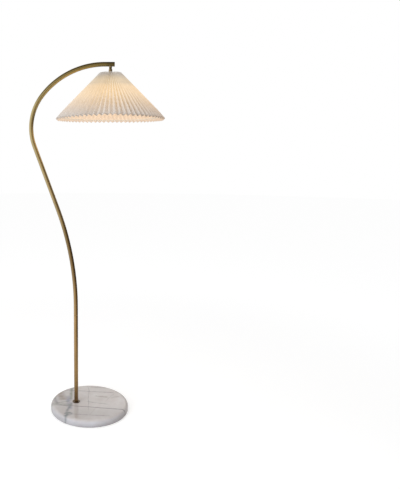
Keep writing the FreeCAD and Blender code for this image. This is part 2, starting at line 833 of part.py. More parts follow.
os.makedirs("parts", exist_ok=True)
for node, make in makers.items():
    shape = make()
    shape.exportStep("parts/%s.step" % node)
    box = shape.BoundBox
    print("%-17s solids %d valid %s volume %.1f z %.2f to %.2f x %.2f to %.2f" % (
        node, len(shape.Solids), shape.isValid(), shape.Volume, box.ZMin, box.ZMax, box.XMin, box.XMax))
print("stem_x %.3f arm_z %.3f pivot_z %.3f shade_top_z %.3f" % (stem_x, arm_z, pivot_z, shade_top_z))
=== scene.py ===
# %% [markdown]
# # A floor lamp with a folded shade
#
# The lamp stands on a disc of polished marble. A brass tube rises from it, leans back, and
# hooks forward over a shade folded from one long strip of white cloth. The solid model of
# every piece is already made; this lesson dresses it. Each cell names one piece or one
# finish, says what it is on the real lamp, and then makes it.

# %% Load the imported lamp
import math
import bpy
import numpy as np
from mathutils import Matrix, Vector


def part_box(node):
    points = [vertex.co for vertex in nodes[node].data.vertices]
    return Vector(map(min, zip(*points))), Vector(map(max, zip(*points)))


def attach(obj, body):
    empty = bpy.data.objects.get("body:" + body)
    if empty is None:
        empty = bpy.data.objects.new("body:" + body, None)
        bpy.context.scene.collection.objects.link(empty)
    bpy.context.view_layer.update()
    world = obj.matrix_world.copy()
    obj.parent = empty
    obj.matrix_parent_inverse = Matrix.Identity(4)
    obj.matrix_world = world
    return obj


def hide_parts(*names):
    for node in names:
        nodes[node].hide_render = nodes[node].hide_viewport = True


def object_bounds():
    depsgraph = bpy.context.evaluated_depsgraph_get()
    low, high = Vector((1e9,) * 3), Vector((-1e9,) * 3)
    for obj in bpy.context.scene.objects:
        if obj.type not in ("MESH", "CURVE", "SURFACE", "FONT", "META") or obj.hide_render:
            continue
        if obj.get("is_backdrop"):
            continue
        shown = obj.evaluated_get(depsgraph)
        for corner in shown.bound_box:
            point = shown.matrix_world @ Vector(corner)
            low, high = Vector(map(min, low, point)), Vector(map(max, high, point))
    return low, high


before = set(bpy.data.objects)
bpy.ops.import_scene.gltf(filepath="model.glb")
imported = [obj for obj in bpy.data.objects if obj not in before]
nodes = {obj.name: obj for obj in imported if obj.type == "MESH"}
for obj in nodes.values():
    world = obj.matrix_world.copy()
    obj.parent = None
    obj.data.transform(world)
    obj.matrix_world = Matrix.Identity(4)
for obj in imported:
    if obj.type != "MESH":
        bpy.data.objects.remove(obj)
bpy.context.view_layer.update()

# %% [markdown]
# ## Lengths
#
# The drawing of the lamp is in millimetres and Blender works in metres, so one factor turns
# one into the other. Everything that the tubes and the shade need again is named here.

# %% Named lengths
MM = 0.001
TURN = 2 * math.pi

pole_x = -60 * MM
stone_top = 34 * MM
tube_radius = 9 * MM
tube_wall = 1.2 * MM
seam_gap = 0.06 * MM
lower_seam = 405 * MM
rise_over_seam = 39.7 * MM
lean_bend, lean_angle = 1261 * MM, 19.74
lean_run, upper_seam = 277 * MM, 120 * MM
crown_bend, crown_turn = 209.3 * MM, 58.37
arm_bend, arm_turn = 328.6 * MM, 90 + lean_angle - crown_turn
level_run = 37 * MM
stem_x = 84.537 * MM

# %% [markdown]
# ## Camera
#
# The lamp was seen from a little over two metres away, from about three quarters of its
# height, looking slightly down. The lamp stands left of the middle of the picture. A real
# photographer gets that by cropping or by sliding the lens, and Blender calls the slide
# *shift*: it moves the picture without turning the camera, so that the pole stays upright.

# %% Camera
camera_distance, camera_height = 2.1504, 1.1219
looking_down = 9.738
camera_data = bpy.data.cameras.new("camera")
camera_data.lens = 37.57
camera_data.sensor_width = 36.0
camera_data.shift_x = 0.22587
camera = bpy.data.objects.new("camera", camera_data)
camera.location = (0.0, -camera_distance, camera_height)
camera.rotation_euler = (math.radians(90 - looking_down), 0, 0)
bpy.context.scene.collection.objects.link(camera)
bpy.context.scene.camera = camera
bpy.context.scene.view_settings.view_transform = "Standard"

# %% [markdown]
# ## Small helpers
#
# A material in Blender is a network of nodes. A few short functions keep the cells below
# readable: one adds a node and fills or links its sockets, and the others stand for the
# nodes that are used most, such as a sum, a blend of two colours or a ramp of them. The
# last two start a material, and give it a relief that is too fine for the mesh.

# %% Node helpers
def node(tree, kind, options=None, **sockets):
    """Adds a shader node; a socket takes either a value or another node's output."""
    made = tree.nodes.new("ShaderNode" + kind)
    for name, value in (options or {}).items():
        setattr(made, name, value)
    for name, value in sockets.items():
        fill(tree, made.inputs[name.replace("_", " ")], value)
    return made


def fill(tree, socket, value):
    """Links another node's output to the socket, or sets a plain value on it."""
    if isinstance(value, bpy.types.NodeSocket):
        tree.links.new(value, socket)
    else:
        socket.default_value = value


def reckon(tree, operation, *values):
    """One sum: ADD, MULTIPLY, MAXIMUM and so on."""
    made = tree.nodes.new("ShaderNodeMath")
    made.operation = operation
    for socket, value in zip(made.inputs, values):
        fill(tree, socket, value)
    return made.outputs[0]


def blend(tree, share, first, second, how="MIX"):
    """Mixes two colours."""
    made = tree.nodes.new("ShaderNodeMix")
    made.data_type = "RGBA"
    made.blend_type = how
    for index, value in ((0, share), (6, first), (7, second)):
        if index and not isinstance(value, bpy.types.NodeSocket):
            value = (*value, 1.0)
        fill(tree, made.inputs[index], value)
    return made.outputs[2]


def remap(tree, value, low, high, to_low=0.0, to_high=1.0, smooth=False):
    """Stretches the range low to high over the range to_low to to_high."""
    kind = "SMOOTHSTEP" if smooth else "LINEAR"
    return node(tree, "MapRange", {"interpolation_type": kind}, Value=value, From_Min=low,
                From_Max=high, To_Min=to_low, To_Max=to_high).outputs[0]


def coordinates(tree, kind="Object"):
    return node(tree, "TexCoord").outputs[kind]


def colour_ramp(tree, value, stops):
    """Turns a number from 0 to 1 into a colour, blending between the stops."""
    ramp = node(tree, "ValToRGB", Fac=value)
    points = ramp.color_ramp.elements
    for spot, (place, colour) in enumerate(stops):
        stop = points[spot] if spot < 2 else points.new(place)
        stop.position = place
        stop.color = (*colour, 1.0)
    return ramp.outputs["Color"]


def start_material(name):
    """A new material, with its tree and its shader."""
    made = bpy.data.materials.new(name)
    made.use_nodes = True
    return made, made.node_tree, made.node_tree.nodes["Principled BSDF"]


def emboss(tree, shader, height, strength, depth):
    bump = node(tree, "Bump", Strength=strength, Distance=depth, Height=height)
    fill(tree, shader.inputs["Normal"], bump.outputs[0])


# %% [markdown]
# A group is a network that is built once and then placed in many materials. Its sockets
# have names, so that each material can give it its own values.

# %% Group helper
def start_group(name, inputs, outputs):
    tree = bpy.data.node_groups.new(name, "ShaderNodeTree")
    for label, default in inputs.items():
        kind = "NodeSocketVector" if isinstance(default, tuple) else "NodeSocketFloat"
        socket = tree.interface.new_socket(label, in_out="INPUT", socket_type=kind)
        socket.default_value = default
    for label in outputs:
        tree.interface.new_socket(label, in_out="OUTPUT", socket_type="NodeSocketFloat")
    given = tree.nodes.new("NodeGroupInput").outputs
    result = tree.nodes.new("NodeGroupOutput").inputs
    return tree, given, result


def use_group(tree, group, **sockets):
    made = tree.nodes.new("ShaderNodeGroup")
    made.node_tree = group
    for name, value in sockets.items():
        fill(tree, made.inputs[name.replace("_", " ")], value)
    return made.outputs


# %% [markdown]
# ## Effects that several finishes share
#
# Nothing real has one even colour. *Mottling* is the slow drift in tone that any surface
# has, from casting, handling or age. It is a noise of low frequency, stretched to the
# range that the material asks for.

# %% Group: mottling
mottling, given, result = start_group(
    "mottling", {"Vector": (0, 0, 0), "Scale": 8.0, "Low": 0.0, "High": 1.0}, ["Value"])
noise = node(mottling, "TexNoise", Vector=given["Vector"], Scale=given["Scale"], Detail=4.0)
drift = remap(mottling, noise.outputs["Fac"], 0.3, 0.7, given["Low"], given["High"])
fill(mottling, result["Value"], drift)

# %% [markdown]
# *Fine grain* is the opposite: a noise so small that it is felt rather than seen. It feeds
# a Bump node, where it breaks up the highlights of cast, moulded and enamelled surfaces.

# %% Group: fine grain
fine_grain, given, result = start_group(
    "fine_grain", {"Vector": (0, 0, 0), "Scale": 900.0}, ["Height"])
noise = node(fine_grain, "TexNoise", Vector=given["Vector"], Scale=given["Scale"], Detail=3.0)
fill(fine_grain, result["Height"], noise.outputs["Fac"])

# %% [markdown]
# *Satin lines* are left when metal is polished with a belt or on a lathe. They are long in
# one direction and hair-fine in the other, so the noise is squeezed by very different
# amounts along the first two axes of the vector that it gets.

# %% Group: satin lines
satin_lines, given, result = start_group(
    "satin_lines", {"Vector": (0, 0, 0), "Along": 14.0, "Across": 1900.0}, ["Lines"])
stretch = node(satin_lines, "CombineXYZ", X=given["Along"], Y=given["Across"], Z=given["Along"])
squeezed = node(satin_lines, "VectorMath", {"operation": "MULTIPLY"})
fill(satin_lines, squeezed.inputs[0], given["Vector"])
fill(satin_lines, squeezed.inputs[1], stretch.outputs[0])
noise = node(satin_lines, "TexNoise", Vector=squeezed.outputs[0], Scale=1.0, Detail=3.0)
fill(satin_lines, result["Lines"], remap(satin_lines, noise.outputs["Fac"], 0.3, 0.7))

# %% [markdown]
# *Edge rub* finds corners that fingers and cloths reach first. Blender's Pointiness is above
# a half on outward edges; a noise makes the rub patchy.

# %% Group: edge rub
edge_rub, given, result = start_group(
    "edge_rub", {"Vector": (0, 0, 0), "Start": 0.51, "Full": 0.58}, ["Mask"])
pointed = node(edge_rub, "NewGeometry").outputs["Pointiness"]
corner = remap(edge_rub, pointed, given["Start"], given["Full"])
patchy = node(edge_rub, "TexNoise", Vector=given["Vector"], Scale=160.0, Detail=2.0)
broken = remap(edge_rub, patchy.outputs["Fac"], 0.35, 0.6, 0.35, 1.0)
fill(edge_rub, result["Mask"], reckon(edge_rub, "MULTIPLY", corner, broken))

# %% [markdown]
# ## Aged brass
#
# The tube and the turned fittings are brass that has been darkened, rubbed back to a satin
# sheen and lacquered. A metal has no colour of its own under the highlight: it tints what
# it mirrors. So the base colour is what white looks like in the metal, and the dark and
# light bands along the tube come from the room. The tubes have their own coordinates, along
# and around, so that their satin lines follow the bends. The turned fittings were polished
# on a lathe, so their lines are circles, which need only the height. The tone follows the
# height: brown low down, dark in the middle and olive over the crown. The last centimetres
# of the arm and the fittings under them are the darkest.

# %% Brass
lamp_height = 1.5
arm_tip = (55 * MM, 85 * MM)
line_brown, bare_brass = (0.24, 0.150, 0.055), (0.52, 0.37, 0.20)
height_tone_stops = [
    (0.02, (0.19, 0.110, 0.040)), (0.045, (0.26, 0.160, 0.060)), (0.085, (0.42, 0.270, 0.110)),
    (0.15, (0.50, 0.320, 0.132)), (0.28, (0.52, 0.335, 0.140)),
    (0.37, (0.40, 0.265, 0.110)), (0.46, (0.25, 0.165, 0.065)), (0.54, (0.33, 0.235, 0.095)),
    (0.63, (0.54, 0.415, 0.200)), (0.80, (0.58, 0.470, 0.225)), (0.92, (0.52, 0.425, 0.180)),
    (0.97, (0.46, 0.375, 0.145)), (0.992, (0.36, 0.292, 0.100)),
]


def make_brass(name, turned):
    material, tree, shader = start_material(name)
    place = coordinates(tree)
    axes = node(tree, "SeparateXYZ", Vector=place).outputs
    if turned:
        path = node(tree, "CombineXYZ", X=0.0, Y=axes["Z"], Z=0.0).outputs[0]
    else:
        path = coordinates(tree, "UV")
    lines = use_group(tree, satin_lines, Vector=path)["Lines"]
    drift = use_group(tree, mottling, Vector=place, Scale=11.0)["Value"]
    height = reckon(tree, "DIVIDE", axes["Z"], lamp_height)
    height_tone = colour_ramp(tree, height, height_tone_stops)
    deep, light = (0.30, 0.42) if turned else (0.88, 1.08)
    tone = blend(tree, 1.0, height_tone, remap(tree, drift, 0.0, 1.0, deep, light), how="MULTIPLY")
    if not turned:
        tip = remap(tree, axes["X"], *arm_tip, 1.0, 0.55, smooth=True)
        tone = blend(tree, 1.0, tone, tip, how="MULTIPLY")
    tone = blend(tree, remap(tree, lines, 0.0, 1.0, 0.0, 0.22), tone, line_brown)
    if turned:
        rub = use_group(tree, edge_rub, Vector=place)["Mask"]
        spared = remap(tree, height, 0.02, 0.5, 0.25, 1.0)
        tone = blend(tree, reckon(tree, "MULTIPLY", rub, spared), tone, bare_brass)
    fill(tree, shader.inputs["Base Color"], tone)
    smear = use_group(tree, mottling, Vector=place, Scale=26.0, Low=0.20, High=0.27)["Value"]
    fill(tree, shader.inputs["Roughness"], reckon(tree, "MULTIPLY_ADD", lines, 0.05, smear))
    emboss(tree, shader, lines, 0.10, 0.04 * MM)
    shader.inputs["Metallic"].default_value = 1.0
    shader.inputs["Coat Weight"].default_value = 0.7
    shader.inputs["Coat Roughness"].default_value = 0.15
    return material


brass_tube = make_brass("brass_tube", turned=False)
brass_turned = make_brass("brass_turned", turned=True)

# %% [markdown]
# ## The bent tube
#
# The pole is one line of straight runs and tangent bends in a flat plane: up, a long lean
# backwards, a tight crown, a wider bend forward and a short level end. The function *walk*
# goes along it and notes a point and a heading every few millimetres. The pole is made as
# three tubes, since a lamp this tall is packed in pieces and screwed together; the seams
# are closed to a hair.

# %% Walking along the pole
def walk(start, legs, heading=90.0, step=4 * MM):
    """Points and headings in the X-Z plane. A leg is (length, 0) or (radius, degrees)."""
    points, headings = [np.array(start)], [heading]
    for size, degrees in legs:
        length = size if degrees == 0 else size * math.radians(abs(degrees))
        count = max(2, round(length / step))
        for _ in range(count):
            heading = headings[-1] + degrees / count
            middle = math.radians((headings[-1] + heading) / 2)
            chord = length / count
            if degrees:
                half = math.radians(abs(degrees)) / count / 2
                chord = 2 * size * math.sin(half)
            points.append(points[-1] + chord * np.array([math.cos(middle), math.sin(middle)]))
            headings.append(heading)
    return np.array(points), np.radians(headings)


def shorten(points, headings, start_cut, end_cut):
    """Draws the ends of a line in, to leave half of a seam's gap."""
    points = points.copy()
    points[0] += start_cut * np.array([math.cos(headings[0]), math.sin(headings[0])])
    points[-1] -= end_cut * np.array([math.cos(headings[-1]), math.sin(headings[-1])])
    return points, headings


lower_legs = [(lower_seam, 0)]
middle_legs = [(rise_over_seam, 0), (lean_bend, lean_angle), (upper_seam, 0)]
upper_legs = [(lean_run - upper_seam, 0), (crown_bend, -crown_turn), (arm_bend, -arm_turn),
              (level_run, 0)]
lower_line = walk((pole_x, stone_top), lower_legs)
middle_line = walk(lower_line[0][-1], middle_legs)
upper_line = walk(middle_line[0][-1], upper_legs, heading=90 + lean_angle)
print("arm ends at", upper_line[0][-1].round(5), "heading", math.degrees(upper_line[1][-1]))

# %% [markdown]
# The tubes, the cloth and the felt are grids: rings with the same number of points, one
# after the other. Three functions give such a grid its faces, its two lids where it needs
# them, and its place in the scene.

# %% Grid helpers
def mesh_piece(name, points, faces, smooth=True):
    mesh = bpy.data.meshes.new(name)
    mesh.from_pydata([tuple(p) for p in points], [], faces)
    mesh.polygons.foreach_set("use_smooth", [smooth] * len(mesh.polygons))
    mesh.update()
    piece = bpy.data.objects.new(name, mesh)
    bpy.context.scene.collection.objects.link(piece)
    return piece


def quads(rows, columns, rows_close=False):
    """Faces of a grid whose columns close into a ring."""
    faces = []
    for r in range(rows if rows_close else rows - 1):
        for c in range(columns):
            d = (c + 1) % columns
            s = (r + 1) % rows
            faces.append((r * columns + c, r * columns + d, s * columns + d, s * columns + c))
    return faces


def lids(rows, columns):
    """The two faces that close the first and the last ring of a grid."""
    last = (rows - 1) * columns
    return [tuple(range(columns))[::-1], tuple(range(last, last + columns))]


# %% [markdown]
# A tube is a ring swept along the pole's line. To give it a wall, the rings run up the
# outside and back down the inside, and the last ring joins the first. The outer ring at each
# end is a hair smaller than the next, which is the broken edge that a cut tube has.

# %% Sweeping the tubes
def swept_tube(name, points, headings, around=56, edge=0.08 * MM):
    """Rings up the outside and down the inside; order is 1 for the outer way up."""
    along = np.concatenate([[0.0], np.cumsum(np.hypot(*np.diff(points, axis=0).T))])
    rings = []
    for radius, order in ((tube_radius, 1), (tube_radius - tube_wall, -1)):
        for i in range(len(points))[::order]:
            rings.append((points[i], headings[i], radius, along[i]))
            if order == 1 and i in (0, len(points) - 1):
                inward = 1 if i == 0 else -1
                heading = np.array([math.cos(headings[i]), math.sin(headings[i])])
                rings[-1] = (points[i], headings[i], radius - edge, along[i])
                bevel = (points[i] + inward * edge * heading, headings[i], radius, along[i])
                rings.insert(len(rings) if i == 0 else len(rings) - 1, bevel)
    verts, lengths = [], []
    for centre, heading, radius, length in rings:
        for a in range(around):
            turn = TURN * a / around
            out = radius * math.cos(turn)
            x = centre[0] - out * math.sin(heading)
            z = centre[1] + out * math.cos(heading)
            verts.append((x, radius * math.sin(turn), z))
            lengths.append(length)
    faces = quads(len(rings), around, rows_close=True)
    piece = mesh_piece(name, verts, faces)
    uv = piece.data.uv_layers.new(name="along_and_around").data
    perimeter = TURN * tube_radius
    for face in piece.data.polygons:
        for corner, index in zip(face.loop_indices, face.vertices):
            a = index % around
            if a == 0 and any(v % around == around - 1 for v in face.vertices):
                a = around
            uv[corner].uv = (lengths[index], perimeter * a / around)
    piece.data.materials.append(brass_tube)
    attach(piece, "stand")
    return piece


half_gap = seam_gap / 2
for name, node_name, line, cuts in (
        ("lower_tube", "lower_pole", lower_line, (0, half_gap)),
        ("middle_tube", "middle_pole", middle_line, (half_gap, half_gap)),
        ("upper_tube", "upper_arm", upper_line, (half_gap, 0))):
    tube = swept_tube(name, *shorten(*line, *cuts))
    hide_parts(node_name)
    print(name, len(tube.data.vertices), "points")

# %% [markdown]
# ## Marble
#
# The base is a disc of polished white marble. Its ground is a warm grey white, cloudy at the
# scale of a hand, and veins run through it where mud once filled the cracks. A *vein* here
# is a plane that cuts the stone: the group measures the distance to a line across the
# disc, bends that line with two noises, and fades it at both ends. The same group draws the
# broad blue-grey vein beside the pole, the hair-thin lines and the stained patches.

# %% Group: stone vein
stone_vein, given, result = start_group(
    "stone_vein", {"Vector": (0, 0, 0), "Centre": (0, 0, 0), "Turn": 0.0, "Length": 0.2,
                   "Width": 0.003, "Wander": 0.01, "Ripple": 18.0, "Break up": 0.5}, ["Mask"])
moved = node(stone_vein, "VectorMath", {"operation": "SUBTRACT"})
fill(stone_vein, moved.inputs[0], given["Vector"])
fill(stone_vein, moved.inputs[1], given["Centre"])
turned_place = node(stone_vein, "VectorRotate", {"rotation_type": "Z_AXIS"},
                    Vector=moved.outputs[0], Angle=given["Turn"])
axes = node(stone_vein, "SeparateXYZ", Vector=turned_place.outputs[0])
ripple = node(stone_vein, "TexNoise", Vector=moved.outputs[0], Scale=given["Ripple"], Detail=5.0,
              Roughness=0.6)
bend = reckon(stone_vein, "SUBTRACT", ripple.outputs["Fac"], 0.5)
offset = reckon(stone_vein, "MULTIPLY_ADD", bend, given["Wander"], axes.outputs["Y"])
distance = reckon(stone_vein, "ABSOLUTE", offset)
core = reckon(stone_vein, "DIVIDE", distance, given["Width"])
core = remap(stone_vein, core, 0.0, 1.0, 1.0, 0.0, smooth=True)
from_middle = reckon(stone_vein, "ABSOLUTE", axes.outputs["X"])
reach = reckon(stone_vein, "DIVIDE", from_middle, given["Length"])
faded = remap(stone_vein, reach, 0.32, 0.5, 1.0, 0.0, smooth=True)
specks = node(stone_vein, "TexNoise", Vector=given["Vector"], Scale=70.0, Detail=4.0)
broken = remap(stone_vein, specks.outputs["Fac"], 0.38, 0.62)
kept = reckon(stone_vein, "SUBTRACT", 1.0, given["Break up"])
broken = reckon(stone_vein, "MULTIPLY_ADD", broken, given["Break up"], kept)
mask = reckon(stone_vein, "MULTIPLY", reckon(stone_vein, "MULTIPLY", core, faded), broken)
fill(stone_vein, result["Mask"], mask)

# %% [markdown]
# Each row below is one vein: its middle on the disc, the way it runs, its length, its width
# and how far it strays, how fine its ripple is, how broken it is, how strong, and its
# colour. The lengths are in metres.

# %% Veins
slate = (0.170, 0.180, 0.185)
dusk = (0.255, 0.260, 0.320)
ash = (0.200, 0.190, 0.192)
moss = (0.235, 0.250, 0.215)
rust = (0.290, 0.245, 0.215)
veins = [
    # middle x, y, degrees, length, width, wander, ripple, break, strength, colour
    (-0.1250, -0.010, 86, 0.42, 0.0600, 0.050, 9, 0.40, 0.38, (0.37, 0.355, 0.36)),
    (0.0300, -0.108, 0, 0.40, 0.0800, 0.040, 6, 0.15, 0.42, (0.370, 0.348, 0.345)),
    (-0.0845, 0.095, 90, 0.19, 0.0130, 0.016, 14, 0.25, 0.95, moss),
    (-0.0930, -0.008, 98, 0.15, 0.0190, 0.020, 20, 0.40, 0.90, dusk),
    (-0.0900, -0.060, 78, 0.12, 0.0110, 0.022, 22, 0.35, 0.85, slate),
    (-0.0910, -0.116, 40, 0.05, 0.0180, 0.020, 24, 0.40, 0.90, slate),
    (-0.0955, -0.104, 20, 0.035, 0.0085, 0.010, 30, 0.10, 0.95, slate),
    (-0.1045, -0.152, 80, 0.12, 0.0090, 0.018, 20, 0.35, 0.90, slate),
    (-0.1370, -0.026, -6, 0.13, 0.0200, 0.020, 24, 0.50, 0.70, moss),
    (-0.1180, -0.004, 20, 0.06, 0.0065, 0.008, 30, 0.30, 0.75, moss),
    (-0.1300, 0.055, 110, 0.10, 0.0300, 0.022, 18, 0.30, 0.98, rust),
    (-0.1560, 0.026, 104, 0.12, 0.0150, 0.022, 22, 0.45, 0.75, ash),
    (-0.1380, 0.098, 30, 0.10, 0.0120, 0.020, 20, 0.50, 0.60, ash),
    (0.0600, -0.061, -8.5, 0.48, 0.0050, 0.010, 12, 0.15, 0.92, ash),
    (0.0000, -0.122, -5, 0.20, 0.0042, 0.012, 16, 0.45, 0.72, ash),
    (0.0100, 0.099, -6, 0.26, 0.0060, 0.014, 14, 0.45, 0.60, ash),
    (0.0560, 0.140, -4, 0.12, 0.0060, 0.014, 18, 0.50, 0.50, ash),
    (0.0360, -0.014, -14, 0.12, 0.0048, 0.012, 22, 0.50, 0.68, ash),
    (-0.0050, 0.038, 90, 0.28, 0.0022, 0.016, 22, 0.40, 0.65, ash),
    (0.0550, 0.048, -8, 0.07, 0.0110, 0.016, 26, 0.60, 0.65, rust),
    (0.1170, 0.043, 20, 0.05, 0.0110, 0.016, 26, 0.60, 0.60, rust),
    (0.1050, 0.060, 60, 0.16, 0.0030, 0.020, 20, 0.60, 0.40, ash),
    (0.0150, -0.090, 70, 0.10, 0.0040, 0.020, 20, 0.60, 0.35, rust),
]

# %% [markdown]
# Three slow changes lie under the veins. The ground is a little darker towards the front left.
# The lowest part of the edge is darkened with painted shade, more on the right, where the edge
# turns from the lamps. The side below the top is tinted a touch cooler with painted light, the
# cool light from the front. Then the veins go on one by one, and where they are strong the
# polish is a little duller.

# %% Marble
marble, tree, shader = start_material("polished_marble")
place = coordinates(tree)
clouds = use_group(tree, mottling, Vector=place, Scale=13.0)["Value"]
tone = blend(tree, clouds, (0.490, 0.455, 0.440), (0.600, 0.582, 0.572))
blush = use_group(tree, mottling, Vector=place, Scale=42.0, Low=0.0, High=0.55)["Value"]
tone = blend(tree, blush, tone, (0.530, 0.475, 0.465))
split = node(tree, "SeparateXYZ", Vector=place).outputs
across = reckon(tree, "MULTIPLY_ADD", split["X"], 0.6, reckon(tree, "MULTIPLY", split["Y"], 0.8))
ground = remap(tree, across, -0.15, 0.13, 0.93, 1.05)
# Painted shade: the lowest part of the edge is darkened, more on the right side.
edge_shade_limit = remap(tree, split["X"], -0.08, 0.04, 0.80, 0.62)
painted_edge_shade = remap(tree, split["Z"], 0.002, 0.020, edge_shade_limit, 1.0)
tone = blend(tree, 1.0, tone, reckon(tree, "MULTIPLY", ground, painted_edge_shade), how="MULTIPLY")
# Painted light: the side below the top is tinted cooler, the tone of the cool light in front.
painted_cool_tint = remap(tree, split["Z"], 0.024, 0.033, 1.0, 0.0, smooth=True)
tone = blend(tree, painted_cool_tint, tone, (0.95, 0.98, 1.05), how="MULTIPLY")
total = None
for x, y, degrees, length, width, wander, ripple_scale, gaps, strength, colour in veins:
    vein = use_group(tree, stone_vein, Vector=place, Centre=(x, y, 0.0),
                     Turn=-math.radians(degrees), Length=length, Width=width, Wander=wander,
                     Ripple=ripple_scale, Break_up=gaps)["Mask"]
    share = reckon(tree, "MULTIPLY", vein, strength)
    tone = blend(tree, share, tone, colour)
    total = share if total is None else reckon(tree, "MAXIMUM", total, share)
fill(tree, shader.inputs["Base Color"], tone)
fill(tree, shader.inputs["Roughness"], remap(tree, total, 0.0, 1.0, 0.10, 0.22))
grain = use_group(tree, fine_grain, Vector=place, Scale=420.0)["Height"]
emboss(tree, shader, grain, 0.05, 0.1 * MM)
shader.inputs["IOR"].default_value = 1.52
print("marble with", len(veins), "veins")

# %% [markdown]
# ## Plain finishes
#
# The fittings that sit inside the lamp still need honest finishes, since someone will open
# the model and look: zinc-plated steel, black and white mouldings, white enamel on sheet
# steel, glazed ceramic, the brass of the contacts, aluminium on the bulb's cap and the
# fabric of the lead. One function makes them all from the shared groups, with a tone that
# drifts, a roughness that drifts and a grain of the right size.

# %% Plain finishes
def plain_finish(name, low, high, rough, metal=0.0, grain=900.0, depth=0.10, coat=0.0):
    """A finish whose tone drifts from low to high, with rubbed edges and a grain."""
    material, tree, shader = start_material(name)
    place = coordinates(tree)
    drift = use_group(tree, mottling, Vector=place, Scale=38.0)["Value"]
    tone = blend(tree, drift, low, high)
    rub = use_group(tree, edge_rub, Vector=place)["Mask"]
    worn = reckon(tree, "MULTIPLY", rub, 0.35)
    tone = blend(tree, worn, tone, tuple(min(0.9, 1.35 * c + 0.03) for c in high))
    fill(tree, shader.inputs["Base Color"], tone)
    smear = remap(tree, drift, 0.0, 1.0, rough - 0.05, rough + 0.05)
    fill(tree, shader.inputs["Roughness"], smear)
    height = use_group(tree, fine_grain, Vector=place, Scale=grain)["Height"]
    emboss(tree, shader, height, depth, 0.1 * MM)
    shader.inputs["Metallic"].default_value = metal
    shader.inputs["Coat Weight"].default_value = coat
    return material


# %% [markdown]
# Each row of the table is one finish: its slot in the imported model, and what the function
# gets. The hoop at the rim shares the enamel's values further down.

# %% Finishes of the fittings
enamel = ((0.70, 0.69, 0.66), (0.76, 0.75, 0.72), 0.28, {"coat": 0.2})
fittings = [
    # slot, material, lower tone, higher tone, roughness, the rest
    ("steel", "zinc_plated_steel",
     (0.42, 0.43, 0.44), (0.56, 0.57, 0.58), 0.36, {"metal": 1.0}),
    ("black_plastic", "black_moulding",
     (0.016, 0.016, 0.017), (0.028, 0.028, 0.030), 0.45, {}),
    ("lead_sheath", "lead_sheath",
     (0.62, 0.60, 0.55), (0.70, 0.68, 0.63), 0.60, {"grain": 1600.0}),
    ("white_enamel", "white_enamel", *enamel),
    ("white_plastic", "white_moulding",
     (0.68, 0.67, 0.63), (0.74, 0.73, 0.69), 0.40, {}),
    ("white_ceramic", "glazed_ceramic",
     (0.72, 0.70, 0.66), (0.78, 0.77, 0.73), 0.18, {}),
    ("contact_brass", "contact_brass",
     (0.62, 0.48, 0.24), (0.72, 0.57, 0.30), 0.32, {"metal": 1.0}),
    ("bulb_metal", "bulb_cap_metal",
     (0.62, 0.62, 0.62), (0.74, 0.74, 0.74), 0.30, {"metal": 1.0}),
]
finishes = {"aged_brass": brass_turned, "marble": marble}
for slot, name, low, high, rough, rest in fittings:
    finishes[slot] = plain_finish(name, low, high, rough, **rest)
print(len(finishes), "finishes")

# %% [markdown]
# ## Bulb glass
#
# The bulb is frosted on the inside, so that its whole skin glows. Frosted glass in front of
# a hot filament looks like a solid warm white, so this is an opaque white with its own
# light, a little uneven, since the filament sits nearer the round end.

# %% Bulb glass
opal, tree, shader = start_material("frosted_bulb")
place = coordinates(tree)
uneven = use_group(tree, mottling, Vector=place, Scale=24.0)["Value"]
frosted = blend(tree, uneven, (0.74, 0.71, 0.66), (0.80, 0.78, 0.74))
fill(tree, shader.inputs["Base Color"], frosted)
height = node(tree, "SeparateXYZ", Vector=place).outputs["Z"]
hot = remap(tree, height, 1.300, 1.375, 1.0, 0.35, smooth=True)
warm = blend(tree, hot, (0.30, 0.16, 0.05), (0.95, 0.66, 0.34))
fill(tree, shader.inputs["Emission Color"], warm)
shader.inputs["Emission Strength"].default_value = 1.0
fill(tree, shader.inputs["Roughness"], remap(tree, uneven, 0.0, 1.0, 0.30, 0.42))
frost = use_group(tree, fine_grain, Vector=place, Scale=1300.0)["Height"]
emboss(tree, shader, frost, 0.08, 0.05 * MM)
finishes["bulb_glass"] = opal

# %% [markdown]
# The wire hoop at the rim has the same enamel as the plate above it, but it hangs in the
# bulb's light. Like the bulb and the cloth it gives that light off, so that it doesn't draw
# a grey line across the glowing folds.

# %% Hoop in the light
low, high, rough, rest = enamel
hoop_enamel = plain_finish("white_enamel_in_light", low, high, rough, **rest)
shader = hoop_enamel.node_tree.nodes["Principled BSDF"]
shader.inputs["Emission Color"].default_value = (0.29, 0.29, 0.25, 1.0)
shader.inputs["Emission Strength"].default_value = 1.0

# %% [markdown]
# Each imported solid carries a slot, which is the name of what it is made of. Its shape is
# right already, so it only needs the finish of that name.

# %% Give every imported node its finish
for name, piece in nodes.items():
    slot = piece.data.materials[0].name
    if slot in finishes:
        piece.data.materials[0] = hoop_enamel if name == "lower_hoop" else finishes[slot]
print(len(nodes), "nodes dressed")

# %% [markdown]
# ## Folded cloth
#
# The shade is a strip of white cloth on a stiff backing, creased every 14 millimetres and
# closed into a ring. Seen close, the cloth is a plain weave of two sets of threads. Two sine
# waves across each other give that grid of tiny cushions, and only the Bump node needs it.

# %% Group: cloth weave
cloth_weave, given, result = start_group(
    "cloth_weave", {"Vector": (0, 0, 0), "Threads": 1800.0}, ["Height"])
split = node(cloth_weave, "SeparateXYZ", Vector=given["Vector"])
waves = []
for axis in ("X", "Y"):
    phase = reckon(cloth_weave, "MULTIPLY", split.outputs[axis], given["Threads"])
    waves.append(reckon(cloth_weave, "SINE", phase))
fill(cloth_weave, result["Height"], reckon(cloth_weave, "MULTIPLY", *waves))

# %% [markdown]
# Light from the bulb comes through the cloth, and it comes through warm: most near the bulb,
# little at the rim, hardly any above the plate that carries the shade. Three ramps hold the
# tones down the slope: the glow outside, the cloth itself and the stronger glow inside.

